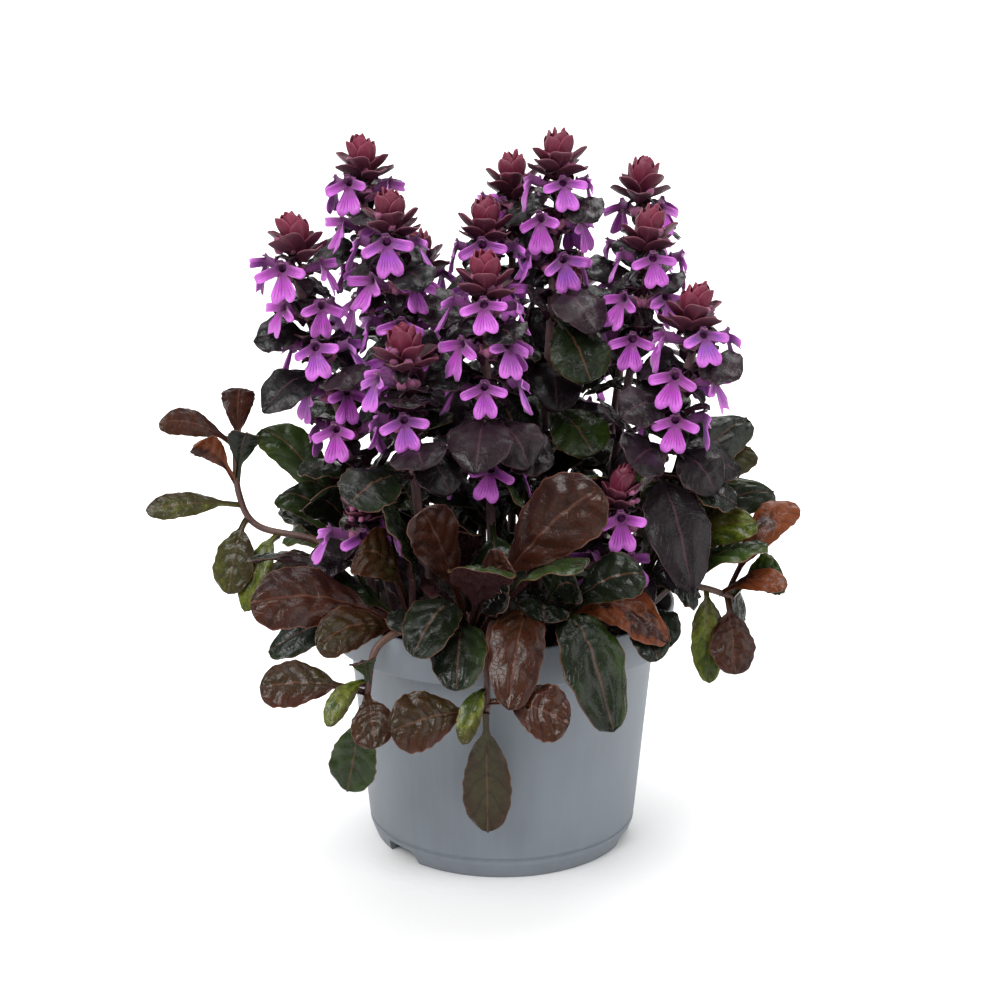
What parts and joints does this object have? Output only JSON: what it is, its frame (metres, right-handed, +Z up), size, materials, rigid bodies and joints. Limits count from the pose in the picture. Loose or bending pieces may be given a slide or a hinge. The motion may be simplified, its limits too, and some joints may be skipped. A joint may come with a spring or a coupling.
{
  "type": "potted bugleweed plant",
  "caption": "Flowering bugleweed in a round plastic nursery pot: upright spikes of violet two-lipped flowers over dark glossy leaves and trailing runners.",
  "frame": {"origin": "centre of the pot's foot, on the ground that the pot stands on", "axes": "+Z up along the pot's axis, -Y towards the plant's front, +X to the right seen from the front"},
  "size_m": [0.2397, 0.1974, 0.2634],
  "materials": {
    "pot": "satin moulded plastic, cool grey-blue",
    "soil": "rough dark compost",
    "blooms": "violet petals, burgundy buds and near-black glossy bracts",
    "leaves": "glossy puckered leaves, bronze to dark green"
  },
  "bodies": {
    "root": {"pot": "pot", "soil": "soil", "flowering_stem_01": "blooms", "flowering_stem_02": "blooms", "flowering_stem_03": "blooms", "flowering_stem_04": "blooms", "flowering_stem_05": "blooms", "flowering_stem_06": "blooms", "flowering_stem_07": "blooms", "flowering_stem_08": "blooms", "flowering_stem_09": "blooms", "flowering_stem_10": "blooms", "flowering_stem_11": "blooms", "flowering_stem_12": "blooms", "flowering_stem_13": "blooms", "flowering_stem_14": "blooms", "flowering_stem_15": "blooms", "leafy_crown_01": "leaves", "leafy_crown_02": "leaves", "leafy_crown_03": "leaves", "leafy_crown_04": "leaves", "leafy_crown_05": "leaves", "leafy_crown_06": "leaves", "leafy_crown_07": "leaves", "leafy_crown_08": "leaves", "leafy_crown_09": "leaves", "leafy_crown_10": "leaves", "leafy_crown_11": "leaves", "runner_01": "leaves", "runner_02": "leaves", "runner_03": "leaves", "runner_04": "leaves", "runner_05": "leaves", "runner_06": "leaves"}
  },
  "joints": []
}
